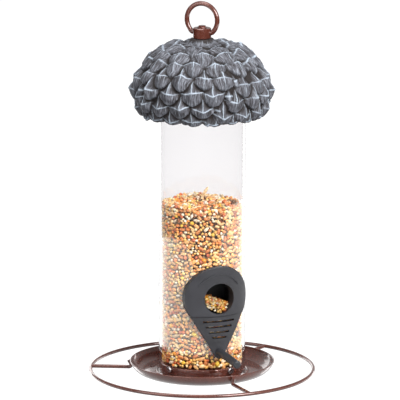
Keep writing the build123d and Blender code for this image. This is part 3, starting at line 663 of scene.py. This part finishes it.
def lay_flat(width, height, wants, closed, allowed):
    """Lays grains side by side on a flat patch, which may close round in x. Wants says, in turn,
    which kind to try, how often, and what share of each may lie over others. Gives (kind, x, y,
    angle) for each grain that found room."""
    columns, rows = int(width / CELL), int(height / CELL)
    taken = np.zeros((rows, columns), bool)
    placed = []
    for kind, tries, room in wants:
        length, breadth = KINDS[kind][1][0], KINDS[kind][1][1]
        reach = int(length / 2 / CELL) + 1
        offset = np.arange(-reach, reach + 1) * CELL
        gx, gy = np.meshgrid(offset, offset)
        xs, ys = rng.uniform(0, width, tries), rng.uniform(0, height, tries)
        angles = rng.normal(0, LYING, tries)
        for x, y, angle in zip(xs, ys, angles):
            if not allowed(x, y, length):
                continue
            ca, sa = math.cos(angle), math.sin(angle)
            lengthwise = (gx * ca + gy * sa) / (length / 2)
            crosswise = (gy * ca - gx * sa) / (breadth / 2)
            inside = lengthwise ** 2 + crosswise ** 2 < 0.92
            i0, j0 = int(y / CELL) - reach, int(x / CELL) - reach
            ii = np.arange(i0, i0 + 2 * reach + 1)
            jj = np.arange(j0, j0 + 2 * reach + 1)
            keep = (ii >= 0) & (ii < rows)
            if closed:
                jj = jj % columns
                window = inside[keep]
            else:
                keep_j = (jj >= 0) & (jj < columns)
                jj, window = jj[keep_j], inside[keep][:, keep_j]
            spot = np.ix_(ii[keep], jj)
            covered = taken[spot]
            if (covered & window).sum() > room * window.sum():
                continue
            taken[spot] = covered | window
            placed.append((kind, x, y, angle))
    return placed


def tilt(vectors, normals, amount):
    """Rocks unit vectors out of the plane at random."""
    rocked = vectors + normals * rng.normal(0, amount, (len(vectors), 1))
    return rocked / np.linalg.norm(rocked, axis=1, keepdims=True)


def square_up(out, along):
    """The part of out at right angles to along."""
    out = out - along * (out * along).sum(axis=1, keepdims=True)
    return out / np.linalg.norm(out, axis=1, keepdims=True)


def wall_layer(grains, radius, wants, shade_dim):
    """One upright layer at a radius, clear of both ports' sleeves and hoods."""
    width = 2 * math.pi * radius

    def allowed(x, y, length):
        azimuth = x / radius
        height = y + FILL_FOOT
        dip = 3 * max(0, math.sin(azimuth - 0.4))
        if height < FILL_FOOT + 1.4 or height > FILL_TOP - 1.5 - dip:
            return False
        for port in PORT_SIDES:
            turn = (azimuth - port + math.pi) % (2 * math.pi) - math.pi
            if abs(turn) < 1.2:
                away = math.hypot(math.sin(turn) * radius, height - PORT_Z)
                if away < HOOD_R + 0.4 * length:
                    return False
        return True

    placed = lay_flat(width, FILL_TOP - FILL_FOOT, wants, True, allowed)
    for kind in KINDS:
        chosen = np.array([p[1:] for p in placed if p[0] == kind])
        if not len(chosen):
            continue
        azimuth = chosen[:, 0] / radius
        out = np.stack([np.cos(azimuth), np.sin(azimuth), 0 * azimuth], axis=1)
        east = np.stack([-np.sin(azimuth), np.cos(azimuth), 0 * azimuth], axis=1)
        up = np.tile((0.0, 0.0, 1.0), (len(chosen), 1))
        angle = chosen[:, 2:3]
        along = east * np.cos(angle) + up * np.sin(angle)
        along = tilt(along, out, 0.1)
        # the more level a grain lies, the deeper it sits, since the wall curves round it
        length, _, thick = KINDS[kind][1]
        deep = thick * 0.55 + (length / 2 * np.abs(np.cos(chosen[:, 2]))) ** 2 / (2 * radius)
        deep = deep + np.abs(rng.normal(0, 0.35, len(chosen)))
        centres = out * (radius - deep)[:, None]
        centres[:, 2] = chosen[:, 1] + FILL_FOOT
        spin = rng.normal(0, 0.5, (len(chosen), 1))
        face = square_up(out, along)
        face = face * np.cos(spin) + np.cross(along, face) * np.sin(spin)
        grains.add(kind, centres, along, face, shade_dim)


def top_height(x, y):
    """The heap's top: level on the left and in the middle, lower on the right."""
    right = x * RIGHT.x + y * RIGHT.y
    slope = 7.0 * max(0, right / FILL_R - 0.5)
    return FILL_TOP + 0.8 - slope + 0.9 * math.sin(right / 6 + y / 9)


def top_layer(grains, drop, wants, shade_dim):
    """One layer of the heap, a drop below its top."""

    def allowed(x, y, length):
        return math.hypot(x - FILL_R, y - FILL_R) < FILL_R - 0.42 * length

    placed = lay_flat(2 * FILL_R, 2 * FILL_R, wants, False, allowed)
    for kind in KINDS:
        chosen = np.array([p[1:] for p in placed if p[0] == kind])
        if not len(chosen):
            continue
        x, y = chosen[:, 0] - FILL_R, chosen[:, 1] - FILL_R
        angle = chosen[:, 2:3] * 2
        number = len(chosen)
        east = np.tile((1.0, 0.0, 0.0), (number, 1))
        north = np.tile((0.0, 1.0, 0.0), (number, 1))
        up = np.tile((0.0, 0.0, 1.0), (number, 1))
        along = tilt(east * np.cos(angle) + north * np.sin(angle), up, 0.22)
        z = np.array([top_height(a, b) for a, b in zip(x, y)]) - drop
        z = z - KINDS[kind][1][2] / 2 + rng.normal(0, 0.55, number)
        grains.add(kind, np.stack([x, y, z], axis=1), along, square_up(up, along), shade_dim)


def port_heap(grains, port):
    """The grain that has run into one port's hood and lies in the seed hole."""
    out = np.array((math.cos(port), math.sin(port), 0.0))
    east = np.array((-math.sin(port), math.cos(port), 0.0))
    up = np.array((0.0, 0.0, 1.0))
    names, shares = list(HEAP_MIX), list(HEAP_MIX.values())
    places, reaches, kinds = np.zeros((HEAP_TRIES, 3)), np.zeros(HEAP_TRIES), []
    for _ in range(HEAP_TRIES):
        kind = names[rng.choice(len(names), p=shares)]
        reach = 0.36 * KINDS[kind][1][0]
        side = rng.uniform(-HEAP_HALF, HEAP_HALF)
        depth = rng.uniform(HEAP_NEAR, HEAP_FAR)
        # the heap slopes down to one side, and falls away towards the hole
        surface = 0.6 - 0.36 * (side + 9) - 0.3 * max(0, depth - 31) - 0.1 * (side + 5) * (depth > 34)
        height = surface - rng.uniform(0, HEAP_DEEP)
        if math.hypot(side, height) > HEAP_R - 0.75 * reach or depth > HEAP_FAR - 0.2 * (side + 8):
            continue
        place = np.array((side, depth, height))
        found = len(kinds)
        gaps = np.linalg.norm(places[:found] - place, axis=1)
        if (gaps < 0.82 * (reach + reaches[:found])).any():
            continue
        places[found], reaches[found] = place, reach
        kinds.append(kind)
    for kind in names:
        chosen = places[[k for k, found in enumerate(kinds) if found == kind]]
        if not len(chosen):
            continue
        centres = (chosen[:, 0:1] * east + chosen[:, 1:2] * out + (chosen[:, 2:3] + PORT_Z) * up)
        along = rng.normal(0, 1, (len(chosen), 3)) * np.array((1, 1, 0.45))
        along = along / np.linalg.norm(along, axis=1, keepdims=True)
        face = square_up(np.tile(up, (len(chosen), 1)) + rng.normal(0, 0.3, (len(chosen), 3)), along)
        grains.add(kind, centres, along, face, HEAP_DIM)


# name, how far in from the fill's side, dimming as painted shade on the layers further in, and what
# lay_flat is to lay
WALL_LAYERS = (
    ("grain_wall", 0.0, 1.0,
     (("sunflower", 4, 0.04), ("oat", 10, 0.05), ("chaff", 12, 0.05), ("safflower", 60, 0.05),
      ("maize", 120, 0.06), ("wheat", 1500, 0.05), ("milo", 1300, 0.06), ("millet", 7000, 0.05),
      ("wheat", 3600, 0.08), ("millet", 12000, 0.08), ("wheat", 1500, 0.12), ("millet", 14000, 0.12))),
    ("grain_behind", 3.2, 0.34, (("wheat", 5000, 0.2), ("milo", 5000, 0.25), ("millet", 6000, 0.3))),
    ("grain_deep", 6.2, 0.16, (("wheat", 6000, 0.3), ("milo", 2000, 0.3))),
)
# how far below the heap's top, dimming as painted shade on the lower layers, and what lay_flat is to
# lay
TOP_LAYERS = (
    (0.0, 1.0,
     (("sunflower", 3, 0.02), ("oat", 30, 0.1), ("safflower", 40, 0.1), ("chaff", 20, 0.2),
      ("maize", 70, 0.1), ("wheat", 500, 0.15), ("milo", 400, 0.15), ("millet", 2500, 0.15),
      ("wheat", 600, 0.2))),
    (2.6, 0.85, (("wheat", 1500, 0.2), ("milo", 600, 0.25), ("millet", 800, 0.3))),
    (5.2, 0.7, (("wheat", 1200, 0.25), ("milo", 500, 0.3))),
)


def make_grain():
    """The fill as separate grains: at the wall, two layers behind darkened as painted shade, on top
    and in the ports.
    """
    skin = grain_skin()
    for name, inset, shade_dim, wants in WALL_LAYERS:
        layer = Grains(name)
        wall_layer(layer, FILL_R - inset, wants, shade_dim)
        layer.build(skin)
    top = Grains("grain_top")
    for drop, shade_dim, wants in TOP_LAYERS:
        top_layer(top, drop, wants, shade_dim)
    # one husk stands up out of the top
    husk_at = np.array((RIGHT * 3.0 + AWAY * 22.0)) + np.array((0, 0, FILL_TOP + 4.2))
    husk_way = np.array(RIGHT * 0.55) + np.array((0, 0, 0.84))
    husk_way = husk_way / np.linalg.norm(husk_way)
    top.add("oat", husk_at[None], husk_way[None], square_up(-np.array(AWAY)[None], husk_way[None]))
    top.build(skin)
    heap = Grains("grain_in_ports")
    for port in PORT_SIDES:
        port_heap(heap, port)
    heap.build(skin)


make_grain()


# ---- finishes of the carried-over parts ------------------------------------------------------
enamel, steel, clear = brown_enamel(), zinc_steel(), clear_plastic()
moulded = black_moulding("black_moulding")
# a darker copy of the black moulding, as painted shade, for the hoods and the lid cap
shaded_black_moulding = black_moulding("black_moulding_painted_shade", 0.3)
FINISHES = {
    "base_dish": enamel, "tube_socket": enamel, "perch_ring": enamel,
    "perch_spoke_1": enamel, "perch_spoke_2": enamel, "perch_spoke_3": enamel,
    "hanger_collar": enamel, "hanging_ring": enamel, "hanger_bolt": enamel,
    "seed_tube": clear,
    "port_front": moulded, "hood_front": shaded_black_moulding, "perch_front": moulded,
    "port_rear": moulded, "hood_rear": shaded_black_moulding, "perch_rear": moulded,
    "lid_cap": shaded_black_moulding,
}
# what isn't named above is a zinc-plated fastener, or has its place taken by a mesh of this script
for node, thing in NODES.items():
    for place in thing.material_slots:
        place.material = FINISHES.get(node, steel)


# ---- floor, light and camera -----------------------------------------------------------------
FLOOR_HALF = 8.0
FLOOR_Z = cad_low.z - 0.11           # the feeder hangs over the floor
LAMP_AIM = 0.15                      # the lamps point at this height on the feeder's axis
FLOOR_GLOW = 1.02
CARD_DISTANCE = 0.8
CARD_STEP = 2                        # degrees: wide flat steps would bend the reflection
CARD_DROP = 0.1666                   # how far a reflection falls on its way from the tube to a card
SKY = 0.55
UNDERFOOT = 1.2


def stage_mesh(name, points, faces, material):
    """A mesh that belongs to the studio and not to the feeder."""
    made = mesh_object(name, points, faces, material)
    return made


def card(name, outline, strength, distance=CARD_DISTANCE):
    """A glowing card beside the tube, seen only as a reflection. Its outline runs from left to right
    as (azimuth, lowest, highest): degrees round from the camera's side, and the heights in
    millimetres at which the tube mirrors it."""
    azimuths, lows, highs = zip(*outline)
    turns = np.arange(azimuths[0], azimuths[-1] + 1, CARD_STEP)
    points = []
    for azimuth in turns:
        angle = math.radians(azimuth)
        way = (RIGHT * math.sin(angle) - AWAY * math.cos(angle)) * distance
        for edge in (lows, highs):
            points.append((way.x, way.y, np.interp(azimuth, azimuths, edge) * MM - CARD_DROP))
    faces = [(2 * k, 2 * k + 1, 2 * k + 3, 2 * k + 2) for k in range(len(turns) - 1)]
    s = Shader(name)
    glow = s.node("Emission", {"Color": (1, 1, 1, 1), "Strength": strength})
    material = s.surface(glow.outputs["Emission"])
    material.cycles.emission_sampling = "NONE"
    made = stage_mesh(name, points, faces, material)
    made.visible_camera = False
    made.visible_diffuse = False
    made.visible_shadow = False
    made.visible_transmission = False
    return made


def soft_light(name, side, distance, width, height, power, mirrored):
    """An area light, hidden from the camera, on the side given by three amounts: to the right, to
    the camera and up. Mirrored says whether it shows as a reflection."""
    aside, near, up = side
    direction = RIGHT * aside - AWAY * near + UP * up
    lamp = bpy.data.lights.new(name, "AREA")
    lamp.shape = "RECTANGLE"
    lamp.size = width
    lamp.size_y = height
    lamp.energy = power
    made = bpy.data.objects.new(name, lamp)
    bpy.context.scene.collection.objects.link(made)
    made.location = UP * LAMP_AIM + direction.normalized() * distance
    made.rotation_euler = (-direction).to_track_quat("-Z", "Y").to_euler()
    made.visible_camera = False
    made.visible_glossy = mirrored


corners = [(-FLOOR_HALF, -FLOOR_HALF, FLOOR_Z), (FLOOR_HALF, -FLOOR_HALF, FLOOR_Z),
           (FLOOR_HALF, FLOOR_HALF, FLOOR_Z), (-FLOOR_HALF, FLOOR_HALF, FLOOR_Z)]
floor = stage_mesh("floor", corners, [(0, 1, 2, 3)], studio_floor())
floor.visible_glossy = False
floor.visible_diffuse = False

# The two front cards give the tube its pale glares, with a clear patch between them that narrows
# downwards. The tube's very edge mirrors a card at every height, so that it never goes dark, and the
# rim card brightens the left edge higher up.
EDGE = (-400, 290)
LEFT_CARD = [(-150, *EDGE), (-140, *EDGE), (-138, -3, 110), (-123, -3, 113), (-82, -3, 117),
             (-60, -3, 117), (-50, -3, 114), (-36, -3, 109), (-30, -3, 99), (-22, -3, 88), (4, -3, 70)]
RIGHT_CARD = [(4, -3, 70), (30, -3, 82), (39, -3, 89), (43, -3, 99), (49, -3, 111), (55, -3, 120),
              (61, -3, 133), (64, -3, 152), (138, -3, 152), (140, *EDGE), (150, *EDGE)]
BACK_CARD = [(150, *EDGE), (210, *EDGE)]
RIM_CARD = [(184, 175, 470), (212, 175, 470)]
card("card_left", LEFT_CARD, 3.6)
card("card_right", RIGHT_CARD, 3.0)
card("card_back", BACK_CARD, 0.93)
card("card_rim", RIM_CARD, 2.4, 0.97 * CARD_DISTANCE)    # just in front of the back card

# name, side, distance, width, height, watts, mirrored
LAMPS = (
    ("key_light", (0.8, 1.0, 0.8), 1.6, 0.9, 0.9, 43, True),
    ("fill_light", (-1.0, 0.8, 0.5), 1.6, 0.9, 1.1, 10, True),
    ("top_light", (-0.2, 0.1, 1.0), 1.6, 1.0, 1.0, 17, True),
    ("low_light", (0.1, 1.0, -0.1), 1.8, 1.4, 0.6, 21, False),
    ("back_light", (0.9, -1.0, 0.6), 1.6, 0.9, 0.9, 14, False),
    ("back_fill", (-0.9, -1.0, 0.5), 1.6, 0.9, 0.9, 11, False),
)
for lamp in LAMPS:
    soft_light(*lamp)

# The studio around the feeder: bright overhead and underfoot, dark in a band just below level, so
# that only the cards show in the upright tube.
world = bpy.data.worlds.new("studio")
bpy.context.scene.world = world
world.use_nodes = True
world.cycles_visibility.diffuse = False
tree = world.node_tree
tree.nodes.clear()
way = tree.nodes.new("ShaderNodeTexCoord")
split = tree.nodes.new("ShaderNodeSeparateXYZ")
tree.links.new(way.outputs["Generated"], split.inputs["Vector"])


def sky_share(start, end, strength):
    """A glow that grows from nought to its strength between two heights of the way looked in."""
    made = tree.nodes.new("ShaderNodeMapRange")
    made.inputs["From Min"].default_value = start
    made.inputs["From Max"].default_value = end
    made.inputs["To Max"].default_value = strength
    tree.links.new(split.outputs["Z"], made.inputs["Value"])
    return made.outputs["Result"]


both = tree.nodes.new("ShaderNodeMath")
both.operation = "ADD"
tree.links.new(sky_share(0.0, 0.15, SKY), both.inputs[0])
tree.links.new(sky_share(-0.3, -0.42, UNDERFOOT), both.inputs[1])
sky = tree.nodes.new("ShaderNodeBackground")
world_out = tree.nodes.new("ShaderNodeOutputWorld")
tree.links.new(both.outputs["Value"], sky.inputs["Strength"])
tree.links.new(sky.outputs["Background"], world_out.inputs["Surface"])

camera_data = bpy.data.cameras.new("camera")
camera_data.lens = VIEW_LENS
camera_data.sensor_width = SENSOR_WIDTH
camera_data.clip_end = FAR_CLIP
camera = bpy.data.objects.new("camera", camera_data)
bpy.context.scene.collection.objects.link(camera)
aim = RIGHT * AIM_ASIDE + UP * AIM_HEIGHT
level, lift = math.cos(VIEW_ELEVATION), math.sin(VIEW_ELEVATION)
camera.location = aim - AWAY * VIEW_DISTANCE * level + UP * VIEW_DISTANCE * lift
camera.rotation_euler = (aim - camera.location).to_track_quat("-Z", "Y").to_euler()
bpy.context.scene.camera = camera
bpy.context.scene.view_settings.view_transform = "Standard"
